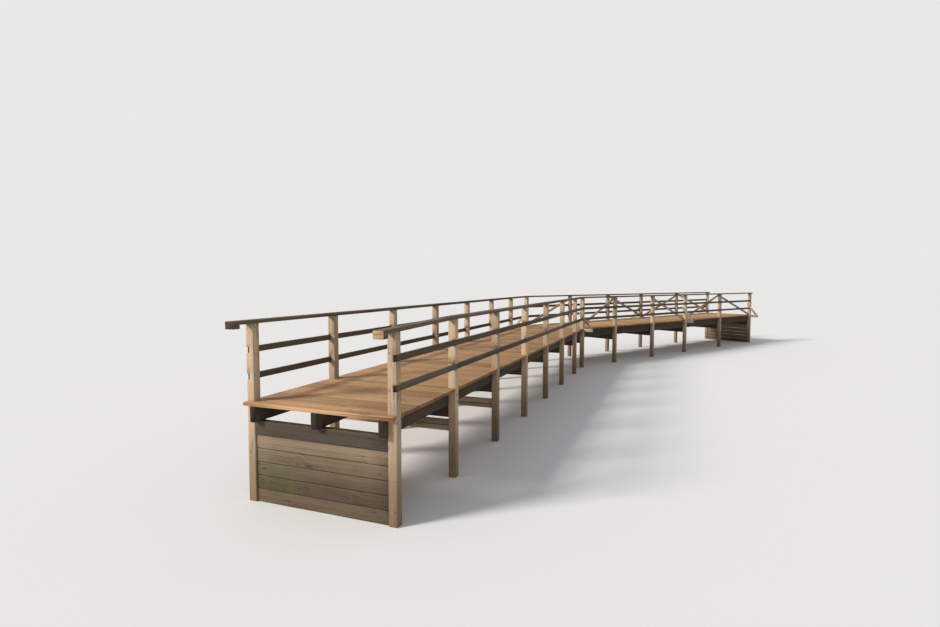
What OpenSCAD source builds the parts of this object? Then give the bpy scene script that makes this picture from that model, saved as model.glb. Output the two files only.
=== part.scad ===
// Timber footbridge in two straight legs that meet at an elbow.
// +X runs along the first leg from the bank, +Z is up, and the second leg turns to the right.
// The origin is under the middle of the bank wall at the near end, on the ground.

/* [Walkway] */
// Distance between the two rows of posts, centre to centre
row_gap = 2290; // [1800:10:2800]
// Height of the walking surface above the feet of the posts
deck_h = 1450; // [1250:10:2400]
// Height of the handrail above the walking surface
rail_h = 1160; // [950:10:1400]
// Angle by which the second leg turns away from the first
turn = 30; // [12:1:44]
// Thickness of the deck boards
board_t = 50; // [32:1:70]
// Length of deck past the last pair of posts at each end
deck_lip = 150; // [100:5:400]

/* [Bays] */
// First bay, at the near bank
bank_bay = 1900; // [1500:10:2600]
// Each other bay of the first leg
bay_1 = 2100; // [1700:10:2600]
// Each of the first three bays of the second leg
bay_2 = 2570; // [2000:10:2700]
// Each of the last two bays of the second leg
end_bay = 3160; // [2400:10:3500]

/* [Posts] */
// Side of the square posts
post_w = 125; // [90:1:160]

/* [Top rail] */
// How far the top rail stands past the posts on each side
top_rail_over = 13; // [0:1:30]
// Depth of the top rail
top_rail_d = 55; // [40:1:110]
// Left top rail past the centre of the first post
left_lip = 420; // [100:10:600]
// Right top rail past the centre of the first post
right_lip = 380; // [100:10:600]
// Both top rails past the centre of the last post
far_lip = 160; // [100:10:600]

/* [Middle rails] */
// Thickness of the two middle rails
rail_t = 50; // [30:1:70]
// Depth of the two middle rails
rail_d = 87; // [60:1:110]
// Centre of the upper middle rail above the walking surface
upper_rail_z = 730; // [620:5:780]
// Centre of the lower middle rail above the walking surface
lower_rail_z = 345; // [220:5:380]
// How far the middle rails stop short of the end face of an end post
rail_setback = 28; // [5:1:40]

/* [Beams] */
// Thickness of the beams under the deck
beam_t = 90; // [60:1:150]
// Depth of the beams of the first leg
beam_d_1 = 225; // [175:5:300]
// Depth of the beams of the second leg
beam_d_2 = 300; // [225:5:375]
// Thickness of the cross bearers
bearer_t = 110; // [80:1:150]
// Depth of the cross bearers
bearer_d = 200; // [150:5:250]

/* [Outriggers] */
// Width of the outriggers, and of the struts that stand on them
outrigger_w = 80; // [60:1:100]
// Depth of the outriggers
outrigger_d = 115; // [80:1:140]
// Length of an outrigger past the centre of the post
outrigger_reach = 470; // [350:5:600]
// Depth of the raking struts
strut_d = 72; // [50:1:90]
// Flat left on the outrigger outside the foot of the strut
strut_heel = 25; // [5:1:50]

/* [Braces] */
// Width of the diagonal braces
brace_w = 85; // [60:1:120]
// Thickness of the diagonal braces
brace_t = 38; // [25:1:50]

/* [Bank] */
// Thickness of the sleepers in the bank walls
sleeper_t = 75; // [50:1:100]
// Nearest height of one sleeper
sleeper_d = 190; // [150:5:250]
// Gap between one sleeper and the next
sleeper_gap = 8; // [3:1:15]
// Thickness of the boards across the second and third pair of posts
bank_board_t = 50; // [30:1:75]
// Height of one of these boards
bank_board_d = 85; // [60:1:120]
// Gap between one of these boards and the next
bank_board_gap = 10; // [3:1:30]
// Gap between the bearer and the board under it
bank_board_drop = 40; // [10:5:80]
// Drop from one pair of posts to the next, as the bank falls
bank_fall = 90; // [0:5:150]

/* [Fit] */
// Clearance between a rail and its housing, and between meeting mitres
fit_gap = 0.3; // [0.2:0.1:0.8]
// Gap between a deck board and a post or outrigger
board_gap = 4; // [2:1:8]

/* [Hidden] */
side = row_gap / 2;
half = turn / 2;
mitre = tan(half);
inner = side - post_w / 2;
outer = side + post_w / 2;
rail_back = outer - rail_t;
top_rail_w = post_w + 2 * top_rail_over;

// Stations of the pairs of posts, along the first leg and along the second.
// The outer row has the full bays, and the inner corner is drawn back by the mitre.
leg_1_len = bank_bay + 6 * bay_1;
elbow_x = leg_1_len - side * mitre;
stations_1 = [for (k = [0:6]) k == 0 ? 0 : bank_bay + (k - 1) * bay_1];
stations_2 = [for (k = [1:5]) min(k, 3) * bay_2 + max(k - 3, 0) * end_bay - side * mitre];
leg_2_end = stations_2[4];
elbow_side = side / cos(half);

// Levels
boards_z = deck_h - board_t;
beam_z_1 = boards_z - beam_d_1;
beam_z_2 = boards_z - beam_d_2;
elbow_seat_z = max(beam_z_1, beam_z_2);
elbow_bearer_z = min(beam_z_1, beam_z_2) - bearer_d;
rail_top = deck_h + rail_h;
post_top = rail_top - top_rail_d;
rail_levels = [deck_h + lower_rail_z, deck_h + upper_rail_z];
bank_board_top = beam_z_1 - bearer_d - bank_board_drop;
bank_board_pitch = bank_board_d + bank_board_gap;

// Right-hand face of each beam: right, middle and left
beam_lines = [-inner, -beam_t / 2, inner - beam_t];

// Bays of the second leg that carry a brace: [lower post, upper post], 0 is the elbow
brace_bays = [[0, 1], [3, 2], [3, 4], [5, 4]];
outrigger_posts = [2, 4];

weathered = "#7b6752";
pale = "#b59a7c";
dark = "#4c4136";
deck_brown = "#8f6d4f";

post_names = [for (k = [1:13]) str("posts_", k < 10 ? "0" : "", k)];

// The frame of the second leg, and the frame of the mitre line at the elbow
module second_leg() { translate([elbow_x, 0, 0]) rotate([0, 0, -turn]) children(); }
module elbow() { translate([elbow_x, 0, 0]) rotate([0, 0, -half]) children(); }

// A straight timber of the first leg, from start to the mitre line, between the lines v0 and v1
module run_1(start, v0, v1, z, d, grow = 0) {
    translate([0, 0, z - grow]) linear_extrude(d + 2 * grow) polygon([
        [start, v0 - grow],
        [elbow_x + (v0 - grow) * mitre - fit_gap / 2 + grow, v0 - grow],
        [elbow_x + (v1 + grow) * mitre - fit_gap / 2 + grow, v1 + grow],
        [start, v1 + grow]
    ]);
}

// A straight timber of the second leg, from the mitre line to stop
module run_2(stop, v0, v1, z, d, grow = 0) {
    second_leg() translate([0, 0, z - grow]) linear_extrude(d + 2 * grow) polygon([
        [-(v0 - grow) * mitre + fit_gap / 2 - grow, v0 - grow],
        [stop, v0 - grow],
        [stop, v1 + grow],
        [-(v1 + grow) * mitre + fit_gap / 2 - grow, v1 + grow]
    ]);
}

// A band along one row of posts, from near to far measured from the middle of the bridge
function band(s, near, far) = s > 0 ? [near, far] : [-far, -near];

// What the middle rails take out of the posts and struts: they lie in housings in the outer faces
// of the posts, right through both end posts. Reach is how far the cut goes past that face.
module rail_housings(reach = 0) {
    for (s = [-1, 1], z = rail_levels) {
        v = band(s, rail_back, outer + reach);
        run_1(-post_w, v[0], v[1], z - rail_d / 2, rail_d, fit_gap);
        run_2(leg_2_end + post_w, v[0], v[1], z - rail_d / 2, rail_d, fit_gap);
    }
}

// One post stick, grown on its four sides where it is used as a cutter
module stick(grow = 0) {
    w = post_w + 2 * grow;
    translate([-w / 2, -w / 2, 0]) cube([w, w, post_top]);
}

module post_pair_1(x) {
    color(pale) difference() {
        for (s = [-1, 1]) translate([x, s * side, 0]) stick();
        rail_housings(post_w / 2);
    }
}
module post_pair_2(u) {
    color(pale) difference() {
        second_leg() for (s = [-1, 1]) translate([u, s * side, 0]) stick();
        rail_housings(post_w / 2);
    }
}
module elbow_sticks(grow = 0) {
    elbow() for (s = [-1, 1]) translate([0, s * elbow_side, 0]) stick(grow);
}
// Notches in the deck for the two elbow posts, open to the outside
module elbow_notches() {
    w = post_w + 2 * board_gap;
    elbow() for (s = [-1, 1]) translate([-w / 2, s * elbow_side - w / 2 + (s - 1) / 2 * post_w, 0])
        cube([w, w + post_w, post_top]);
}
module post_pair_elbow() {
    color(pale) difference() {
        elbow_sticks();
        rail_housings(post_w / 2);
    }
}
module post_pair(k) {
    if (k < 7) post_pair_1(stations_1[k]);
    if (k == 7) post_pair_elbow();
    if (k > 7) post_pair_2(stations_2[k - 8]);
}

module bearer(x, top) {
    translate([x - bearer_t / 2, -inner, top - bearer_d]) cube([bearer_t, 2 * inner, bearer_d]);
}
module bearers_leg_1() {
    color(dark) for (x = stations_1) bearer(x, beam_z_1);
}
module bearers_leg_2() {
    color(dark) second_leg() for (u = stations_2) bearer(u, beam_z_2);
}

// The bearer under the elbow is stepped, because the beams of the two legs differ in depth
module bearer_elbow() {
    reach = elbow_side - post_w / 2;
    color(dark) difference() {
        elbow() translate([-bearer_t / 2, -reach, elbow_bearer_z])
            cube([bearer_t, 2 * reach, elbow_seat_z - elbow_bearer_z]);
        for (v = beam_lines) {
            run_1(0, v, v + beam_t, beam_z_1, beam_d_1, fit_gap);
            run_2(leg_2_end, v, v + beam_t, beam_z_2, beam_d_2, fit_gap);
        }
    }
}

module beam_1(i) {
    color(dark) difference() {
        run_1(-deck_lip, beam_lines[i], beam_lines[i] + beam_t, beam_z_1, beam_d_1);
        elbow_sticks(fit_gap);
        outrigger_at_elbow(fit_gap);
    }
}
module beam_2(i) {
    color(dark) difference() {
        run_2(leg_2_end + deck_lip, beam_lines[i], beam_lines[i] + beam_t, beam_z_2, beam_d_2);
        elbow_sticks(fit_gap);
        for (k = outrigger_posts) outrigger_at(k, fit_gap);
    }
}

module deck_leg_1() {
    color(deck_brown) difference() {
        run_1(-deck_lip, -outer, outer, boards_z, board_t);
        for (x = stations_1, s = [-1, 1]) translate([x, s * side, 0]) stick(board_gap);
        elbow_notches();
        outrigger_at_elbow(board_gap);
    }
}
module deck_leg_2() {
    color(deck_brown) difference() {
        run_2(leg_2_end + deck_lip, -outer, outer, boards_z, board_t);
        second_leg() for (u = stations_2, s = [-1, 1]) translate([u, s * side, 0]) stick(board_gap);
        elbow_notches();
        for (k = outrigger_posts) outrigger_at(k, board_gap);
    }
}

// An outrigger lies across the bridge against the near faces of two posts, level with the deck
module outrigger_bar(post_line, grow = 0) {
    reach = post_line + outrigger_reach;
    translate([-post_w / 2 - outrigger_w - grow, -reach, deck_h - outrigger_d - grow])
        cube([outrigger_w + 2 * grow, 2 * reach, outrigger_d + 2 * grow]);
}
module outrigger_at_elbow(grow = 0) { elbow() outrigger_bar(elbow_side, grow); }
module outrigger_at(k, grow = 0) {
    second_leg() translate([stations_2[k], 0, 0]) outrigger_bar(side, grow);
}
module outrigger_elbow() { color(weathered) outrigger_at_elbow(); }
module outrigger(k) { color(weathered) outrigger_at(k); }

// A strut stands on the end of the outrigger and laps the post between the two middle rails
module strut(post_line) {
    foot = post_line + outrigger_reach - strut_heel;
    head_z = (lower_rail_z + upper_rail_z) / 2;
    slope = head_z / (foot - post_line);
    foot_w = strut_d * sqrt(1 + 1 / (slope * slope));
    end = post_line - post_w / 2;
    translate([-post_w / 2, 0, deck_h]) rotate([90, 0, -90]) linear_extrude(outrigger_w) polygon([
        [-foot, 0],
        [-foot + foot_w, 0],
        [-end, (foot - foot_w - end) * slope],
        [-end, (foot - end) * slope]
    ]);
}
module struts(post_line) {
    strut(post_line);
    mirror([0, 1, 0]) strut(post_line);
}
module struts_elbow() {
    color(pale) difference() {
        elbow() struts(elbow_side);
        rail_housings();
    }
}
module struts_at(k) {
    color(pale) difference() {
        second_leg() translate([stations_2[k], 0, 0]) struts(side);
        rail_housings();
    }
}

module top_rail_1(s, lip) {
    v = s * side - top_rail_w / 2;
    color(weathered) run_1(-lip, v, v + top_rail_w, post_top, top_rail_d);
}
module top_rail_2(s) {
    v = s * side - top_rail_w / 2;
    color(weathered) run_2(leg_2_end + far_lip, v, v + top_rail_w, post_top, top_rail_d);
}
module middle_rails_1(s) {
    v = band(s, rail_back, outer);
    color(weathered) for (z = rail_levels)
        run_1(rail_setback - post_w / 2, v[0], v[1], z - rail_d / 2, rail_d);
}
module middle_rails_2(s) {
    v = band(s, rail_back, outer);
    color(weathered) for (z = rail_levels)
        run_2(leg_2_end + post_w / 2 - rail_setback, v[0], v[1], z - rail_d / 2, rail_d);
}

// Post of the second leg by number on one row, where 0 is the elbow
function post_u(k, s) = k == 0 ? -s * side * mitre : stations_2[k - 1];

// A brace lies on the deck side of the posts, from the foot of one to the head of the next
module brace(low, high, s) {
    u0 = post_u(low, s);
    u1 = post_u(high, s);
    dir = sign(u1 - u0);
    run = abs(u1 - u0) - fit_gap;
    rise = post_top - deck_h;
    half_h = brace_w / 2 / cos(atan(rise / run));
    a = u0 + dir * fit_gap / 2;
    b = u1 - dir * fit_gap / 2;
    v = s > 0 ? inner : -inner + brace_t;
    translate([0, v, 0]) rotate([90, 0, 0]) linear_extrude(brace_t) polygon([
        [a, deck_h], [a, deck_h + 2 * half_h], [b, post_top], [b, post_top - 2 * half_h]
    ]);
}
module braces(s) {
    color(pale) difference() {
        second_leg() for (bay = brace_bays) brace(bay[0], bay[1], s);
        elbow_sticks(fit_gap);
    }
}

// Sleepers stacked between two posts, from the ground to the underside of the bearer
module bank_wall(bearer_top) {
    wall_h = bearer_top - bearer_d;
    count = round(wall_h / sleeper_d);
    pitch = wall_h / count;
    for (i = [0:count - 1]) translate([-sleeper_t / 2, -inner, i * pitch])
        cube([sleeper_t, 2 * inner, pitch - sleeper_gap]);
}
module bank_wall_near() { color(weathered) bank_wall(beam_z_1); }
module bank_wall_far() {
    color(weathered) second_leg() translate([leg_2_end, 0, 0]) bank_wall(beam_z_2);
}
module bank_boards() {
    color(pale) for (k = [1, 2], i = [1, 2]) {
        z = bank_board_top - (k - 1) * bank_fall - i * bank_board_pitch;
        translate([stations_1[k] - bank_board_t / 2, -inner, z])
            cube([bank_board_t, 2 * inner, bank_board_d]);
    }
}

for (k = [0:12]) post_pair(k);
bearers_leg_1();
bearer_elbow();
bearers_leg_2();
beam_1(0);  // beam_right_1
beam_1(1);  // beam_middle_1
beam_1(2);  // beam_left_1
beam_2(0);  // beam_right_2
beam_2(1);  // beam_middle_2
beam_2(2);  // beam_left_2
deck_leg_1();
deck_leg_2();
outrigger_elbow();
outrigger(2);  // outrigger_3
outrigger(4);  // outrigger_5
struts_elbow();
struts_at(2);  // struts_3
struts_at(4);  // struts_5
top_rail_1(1, left_lip);  // top_rail_left_1
top_rail_1(-1, right_lip);  // top_rail_right_1
top_rail_2(1);  // top_rail_left_2
top_rail_2(-1);  // top_rail_right_2
middle_rails_1(1);  // middle_rails_left_1
middle_rails_1(-1);  // middle_rails_right_1
middle_rails_2(1);  // middle_rails_left_2
middle_rails_2(-1);  // middle_rails_right_2
braces(1);  // braces_left
braces(-1);  // braces_right
bank_wall_near();
bank_wall_far();
bank_boards();
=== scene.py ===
"""Timber footbridge with an elbow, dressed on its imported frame.

Lengths are metres, +X runs along the first leg and +Z is up. Every timber is a rounded rectangle carried
along a straight line, worked out as one numpy grid and laid in the frame of the leg that it belongs to.
Each timber keeps its own grain in the attribute "grain": metres along, across and through the stick.
"""
import math

import bpy
import numpy as np
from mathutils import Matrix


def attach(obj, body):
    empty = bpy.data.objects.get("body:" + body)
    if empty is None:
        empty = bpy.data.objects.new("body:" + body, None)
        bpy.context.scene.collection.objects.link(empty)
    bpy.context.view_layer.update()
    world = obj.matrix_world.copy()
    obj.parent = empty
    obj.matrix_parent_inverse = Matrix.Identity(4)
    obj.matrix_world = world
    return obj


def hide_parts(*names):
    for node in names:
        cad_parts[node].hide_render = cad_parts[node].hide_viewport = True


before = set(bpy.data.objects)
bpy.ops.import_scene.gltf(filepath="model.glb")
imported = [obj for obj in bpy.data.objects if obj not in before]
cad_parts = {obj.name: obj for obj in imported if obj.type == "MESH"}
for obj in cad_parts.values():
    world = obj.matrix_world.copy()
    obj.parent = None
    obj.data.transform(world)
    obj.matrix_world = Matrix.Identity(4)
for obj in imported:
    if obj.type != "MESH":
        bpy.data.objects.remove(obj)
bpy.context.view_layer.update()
draws = np.random.default_rng(11)

# Plan: the two rows of posts and the stations of the pairs
ROW = 1.145
POST = 0.125
TURN = math.radians(30)
MITRE = math.tan(TURN / 2)
INNER = ROW - POST / 2
OUTER = ROW + POST / 2
BANK_BAY, BAY_1, BAY_2, END_BAY = 1.9, 2.1, 2.57, 3.16
ELBOW_X = BANK_BAY + 6 * BAY_1 - ROW * MITRE
ELBOW_SIDE = ROW / math.cos(TURN / 2)
STATIONS_1 = np.array([0] + [BANK_BAY + k * BAY_1 for k in range(6)])
STATIONS_2 = np.array([min(k, 3) * BAY_2 + max(k - 3, 0) * END_BAY for k in range(1, 6)]) - ROW * MITRE
DECK_LIP = 0.15
SIDES = ((1, "left"), (-1, "right"))

# A line on the plan: where it starts along the first leg, and how far it is turned
LEG_1 = (0.0, 0.0)
LEG_2 = (ELBOW_X, -TURN)
ELBOW = (ELBOW_X, -TURN / 2)

# Levels of the deck and of what carries it
DECK_Z = 1.45
BOARD_T = 0.05
BOARDS_Z = DECK_Z - BOARD_T
BEAM_T, BEAM_D_1, BEAM_D_2 = 0.09, 0.225, 0.3
BEAM_Z_1 = BOARDS_Z - BEAM_D_1
BEAM_Z_2 = BOARDS_Z - BEAM_D_2
BEARER_T, BEARER_D = 0.11, 0.2

# Rails. The top rail's face lies under the solid's by the room that its bow needs
POST_TOP = 2.555
RAIL_FACE = 2.61 - 0.003
TOP_RAIL_OVER = 0.013
TOP_RAIL_BOW, TOP_RAIL_ARRIS = (0.003, 0.002), 0.007
LEFT_LIP, RIGHT_LIP, FAR_LIP = 0.42, 0.38, 0.16
RIGHT_RAIL_FALL = 0.022
END_BLOCK_L, END_BLOCK_D, END_BLOCK_BACK = 0.115, 0.055, 0.002
RAIL_T, RAIL_D = 0.05, 0.087
RAIL_BACK = OUTER - RAIL_T
RAIL_LEVELS = (DECK_Z + 0.345, DECK_Z + 0.73)
RAIL_SETBACK = 0.028
MIDDLE_RAIL_BOW = (0.004, 0.003)

# Outriggers, struts, braces and bank timbers. A brace bay gives the posts at the brace's foot and head, and
# its bolts sit at parts of the way between them
OUTRIGGER_W, OUTRIGGER_D, OUTRIGGER_REACH = 0.08, 0.115, 0.47
STRUT_D, STRUT_HEEL, STRUT_HEAD_CUT, STRUT_STEP = 0.072, 0.025, 0.02, 0.12
BRACE_W, BRACE_T = 0.085, 0.038
BRACE_BAYS = ((0, 1), (3, 2), (3, 4), (5, 4))
BRACE_BOLTS = (0.012, 0.988)
SLEEPER_T, SLEEPER_D, SLEEPER_GAP, SLEEPER_ARRIS = 0.075, 0.19, 0.008, 0.009
BANK_BOARD_T, BANK_BOARD_D = 0.05, 0.085
BANK_BOARD_PITCH, BANK_BOARD_DROP, BANK_FALL = 0.095, 0.04, 0.09

# Joinery: fit of housings and mitres, gap between lengths, and width of a notch's upright wall
FIT = 0.0003
BUTT_GAP = 0.0015
STEP = 0.00005

# Deck boards. Side gap, sink and shortness are drawn afresh for each board
BOARD_GAP = 0.004
BOARD_PITCH = 0.15
BOARD_SIDE_GAP = (0.0015, 0.0035)
BOARD_SINK = 0.0025
BOARD_SHORT = 0.004
BOARD_ARRIS = 0.0035
BOARD_STEP = 0.03
NARROWEST_BOARD = 0.03
SHARED_REST = 0.25

# Wear: arrises, how far they vary and the most of half a stick that they take, then the rounded ends, and
# how end grain fades inwards
ARRIS, ARRIS_SPREAD, ARRIS_MOST = 0.005, 0.35, 0.45
POST_ARRIS, BAR_ARRIS, STICK_ARRIS = 0.006, 0.006, 0.004
COPIED_WEAR = 0.35
END_ROUND = 0.003
END_STEPS = np.array([0, 0.3, 1])
END_FADE = np.array([1, 0.7, 0])
# An old end is dark end grain; the painted lit end is a painted highlight, pale for a sunlit end face
OLD_END, PAINTED_LIT_END = 1.0, -1.0

# The outriggers: name, line, station and post line. They lie against the near faces of their posts, in
# notches of the beams: the elbow's from BAR_NEAR to BAR_FAR before the mitre line, the others in BARS_2
OUTRIGGERS = (
    ("elbow", ELBOW, 0.0, ELBOW_SIDE), ("3", LEG_2, STATIONS_2[2], ROW), ("5", LEG_2, STATIONS_2[4], ROW))
BAR_NEAR = (POST / 2 + OUTRIGGER_W) / math.cos(TURN / 2)
BAR_FAR = (POST / 2) / math.cos(TURN / 2)
BARS_2 = [(u - POST / 2 - OUTRIGGER_W, u - POST / 2) for u in STATIONS_2[[2, 4]]]
BAR_SEAT = DECK_Z - OUTRIGGER_D - FIT

# The two legs: line, stations and top of the bearers. Then the stations, counted from 0, over which the
# lengths of a long timber butt, and the zone by the elbow where its rings lean with the mitre line
LEGS = ((LEG_1, STATIONS_1, BEAM_Z_1), (LEG_2, STATIONS_2, BEAM_Z_2))
JOINTS = ({"top": [3, 6], "upper": [2, 4, 6], "lower": [1, 3, 5], "beam": [2, 4, 6]},
          {"top": [1, 3], "upper": [0, 2, 3], "lower": [1, 3], "beam": [1, 2, 3]})
ELBOW_ZONE = 0.25

# Rings of a timber: how far they stand apart, and the arcs, angles and corners of their points
RING_STEP = 0.3
ARC_POINTS = 3
CORNER = np.repeat(np.arange(4), ARC_POINTS)
ARC = np.tile(np.linspace(0, math.pi / 2, ARC_POINTS), 4) + CORNER * math.pi / 2
SIDE_A = np.array([1, -1, -1, 1])[CORNER]
SIDE_B = np.array([1, 1, -1, -1])[CORNER]
ON_ARRIS = np.abs(np.sin(2 * ARC))
RING = len(ARC)


def on_bridge(points, line):
    """Points (u, v, z) of a line, turned about Z by its angle and then moved along X to its start."""
    start, angle = line
    u, v, z = np.moveaxis(points, -1, 0)
    cos, sin = math.cos(angle), math.sin(angle)
    return np.stack((start + u * cos - v * sin, u * sin + v * cos, z), -1)


def between(start, stop, breaks=(), step=RING_STEP):
    """Stations from start to stop, evenly spaced at about one step, with the breaks that lie inside."""
    even = np.linspace(start, stop, max(2, round((stop - start) / step) + 1))
    inside = [b for b in breaks if start < b < stop]
    return np.unique(np.concatenate((even, inside)))


def edges_of(low, high):
    """The four stations that make the two upright walls of a notch from low to high."""
    return [low - STEP, low, high, high + STEP]


def within(stations, low, high):
    """Where a station lies in the notch from low to high."""
    return (stations > low - STEP / 2) & (stations < high + STEP / 2)


def faces_of(rows, columns, flipped=False):
    """Quads between neighbouring rings, and a fan from a middle point on each end, all facing outwards."""
    row, column = np.meshgrid(np.arange(rows - 1), np.arange(columns), indexing="ij")
    after = (column + 1) % columns
    first, next_row = row * columns, (row + 1) * columns
    quads = np.stack((first + column, first + after, next_row + after, next_row + column), -1).reshape(-1, 4)
    k = np.arange(columns)
    k_after = (k + 1) % columns
    last = (rows - 1) * columns
    start_fan = np.stack((np.full(columns, rows * columns), k_after, k), -1)
    stop_fan = np.stack((np.full(columns, rows * columns + 1), last + k, last + k_after), -1)
    fans = np.concatenate((start_fan, stop_fan))
    return (quads[:, ::-1], fans[:, ::-1]) if flipped else (quads, fans)


def added(name, data):
    """An object in the scene that shows the data."""
    thing = bpy.data.objects.new(name, data)
    bpy.context.scene.collection.objects.link(thing)
    return thing


def write_facts(mesh, facts):
    """Writes arrays onto the points of a mesh, as attributes of one or of three numbers."""
    for name, values in facts.items():
        kind, field = ("FLOAT_VECTOR", "vector") if values.ndim == 2 else ("FLOAT", "value")
        mesh.attributes.new(name, kind, "POINT").data.foreach_set(field, values.ravel().astype(np.float32))


def stand_for(piece, node):
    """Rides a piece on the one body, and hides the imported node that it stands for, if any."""
    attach(piece, "root")
    if node:
        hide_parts(node)


class Piece:
    """One object of the scene: shells of points, quads and triangles with their attributes."""

    def __init__(self, name, node=None):
        self.name, self.node = name, node
        self.points, self.quads, self.fans = [], [], []
        self.facts = {"grain": [], "stick": [], "arris": [], "sawn": []}
        self.count = 0

    def add(self, points, quads, fans, **facts):
        """Keeps one shell, with its faces counted on from the points before it."""
        self.points.append(points)
        self.quads.append(quads + self.count)
        self.fans.append(fans + self.count)
        for name, values in facts.items():
            self.facts[name].append(values)
        self.count += len(points)

    def build(self, material, slot):
        """Puts the arrays into a mesh, with the attributes on its points."""
        points = np.concatenate(self.points)
        quads, fans = np.concatenate(self.quads), np.concatenate(self.fans)
        corners = np.concatenate((quads.ravel(), fans.ravel()))
        sizes = np.concatenate((np.full(len(quads), 4), np.full(len(fans), 3)))
        starts = np.concatenate(([0], np.cumsum(sizes)[:-1]))
        mesh = bpy.data.meshes.new(self.name)
        mesh.vertices.add(len(points))
        mesh.vertices.foreach_set("co", points.ravel().astype(np.float32))
        mesh.loops.add(len(corners))
        mesh.loops.foreach_set("vertex_index", corners.astype(np.int32))
        mesh.polygons.add(len(sizes))
        mesh.polygons.foreach_set("loop_start", starts.astype(np.int32))
        mesh.update(calc_edges=True)
        write_facts(mesh, {name: np.concatenate(values) for name, values in self.facts.items() if values})
        mesh.validate()
        mesh.materials.append(material)
        stand_for(added(self.name, mesh), self.node)

    def timber(self, line, order, stations, across, deep, lean=0.0, arris=ARRIS, grain="along", core=None,
               first_end=OLD_END):
        """A rounded rectangle carried along a straight line, with worn ends.

        Ring i stands at stations[i] between the sides across[i] and deep[i]. Its point k is
        (a, b) = middle + (half - r) * corner + r * (cos t, sin t), with t going round the four arcs, and it is
        slid along by lean[i] * (a - middle), which makes a mitre. At each end the sides come in by
        END_ROUND * (1 - step). Order says which axes of the line (u, v, z) the stick's along, across and deep
        lie on. Core is the line (a, b) of the pith in a raking stick, so that the grain rakes with it. The
        first end is old, with dark end grain, or painted pale as a highlight for a sunlit end face.
        """
        n, end_rows = len(stations), len(END_STEPS)
        pick = np.concatenate(([0] * end_rows, np.arange(1, n - 1), [n - 1] * end_rows))
        rows = len(pick)
        middle_rows = np.zeros(n - 2)
        slide = np.concatenate((END_STEPS, middle_rows, -END_STEPS[::-1])) * END_ROUND
        inset = np.concatenate((1 - END_STEPS, middle_rows, 1 - END_STEPS[::-1])) * END_ROUND
        across = np.broadcast_to(across, (n, 2))[pick]
        deep = np.broadcast_to(deep, (n, 2))[pick]
        lean = np.broadcast_to(lean, n)[pick]
        mid_a, mid_b = across.mean(1)[:, None], deep.mean(1)[:, None]
        half_a = (across[:, 1] - across[:, 0])[:, None] / 2 - inset[:, None]
        half_b = (deep[:, 1] - deep[:, 0])[:, None] / 2 - inset[:, None]
        worn = arris * (1 + ARRIS_SPREAD * draws.standard_normal((rows, 4)).clip(-2, 2))[:, CORNER]
        r = np.minimum(worn, ARRIS_MOST * np.minimum(half_a, half_b))
        a = mid_a + (half_a - r) * SIDE_A + r * np.cos(ARC)
        b = mid_b + (half_b - r) * SIDE_B + r * np.sin(ARC)
        s = (stations[pick] + slide)[:, None] + lean[:, None] * (a - mid_a)
        grid = np.stack((s, a, b), -1)
        caps = grid[[0, -1]].mean(1)
        sticks = np.concatenate((grid.reshape(-1, 3), caps))

        on_end = np.concatenate(([0, 1, 0], middle_rows, [0, 1, 0]))
        on_arris = np.maximum(ON_ARRIS, on_end[:, None])
        if grain == "along":
            at_end = np.concatenate((first_end * END_FADE, middle_rows, OLD_END * END_FADE[::-1]))
            sawn = np.broadcast_to(at_end[:, None], (rows, RING))
            pith = np.broadcast_to((across.mean(), deep.mean()) if core is None else core[pick], (rows, 2))
            pith = np.concatenate((np.repeat(pith, RING, 0), pith[[0, -1]]))
            own = sticks - np.concatenate((np.zeros((len(sticks), 1)), pith), 1)
            cap_sawn = [first_end, OLD_END]
        else:
            sawn = np.broadcast_to(np.cos(ARC) ** 2, (rows, RING))
            own = sticks[:, [1, 0, 2]] - [0, stations.mean(), deep.mean()]
            cap_sawn = [0.0, 0.0]
        points = np.stack([sticks[:, order.index(axis)] for axis in "uvz"], -1)
        quads, fans = faces_of(rows, RING, flipped=order in ("zvu", "vuz"))
        self.add(
            on_bridge(points, line), quads, fans,
            grain=own,
            stick=np.full(len(sticks), draws.random()),
            arris=np.concatenate((on_arris.ravel(), [0, 0])),
            sawn=np.concatenate((sawn.ravel(), cap_sawn)),
        )

    def turned(self, places, normals, profile, sides, phase=0.0):
        """A profile (radius, height) turned about the normal at each place, all places in one array:
        point = place + radius * (cos t * e1 + sin t * e2) + height * normal. Both e are square to the normal,
        and e1 also to Z, or to X where the normal is upright."""
        normals = np.broadcast_to(normals, places.shape)
        helper = np.where(np.abs(normals[:, 2:]) > 0.9, [[1.0, 0, 0]], [[0, 0, 1.0]])
        e1 = np.cross(helper, normals)
        e1 /= np.linalg.norm(e1, axis=1, keepdims=True)
        e2 = np.cross(normals, e1)
        t = np.arange(sides) * 2 * math.pi / sides + phase
        radius, height = np.array(profile).T
        round_ = np.cos(t)[:, None] * e1[:, None, None, :] + np.sin(t)[:, None] * e2[:, None, None, :]
        rings = places[:, None, None, :] + radius[:, None, None] * round_ + (
            height[:, None, None] * normals[:, None, None, :])
        caps = places[:, None, :] + height[[0, -1]][:, None] * normals[:, None, :]
        shells = np.concatenate((rings.reshape(len(places), -1, 3), caps), 1)
        quads, fans = faces_of(len(profile), sides)
        lift = (np.arange(len(places)) * shells.shape[1])[:, None, None]
        self.add(shells.reshape(-1, 3), (quads + lift).reshape(-1, 4), (fans + lift).reshape(-1, 3))


def timbers_of(node):
    """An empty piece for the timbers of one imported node."""
    return Piece(node + "_timber", node)


def tree_node(tree, kind, inputs=None, **settings):
    """A shader node with its settings, and its inputs set to a value or joined to a socket."""
    node = tree.nodes.new(kind)
    for name, value in settings.items():
        setattr(node, name, value)
    for name, value in (inputs or {}).items():
        if isinstance(value, bpy.types.NodeSocket):
            tree.links.new(value, node.inputs[name])
        else:
            node.inputs[name].default_value = value
    return node


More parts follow.
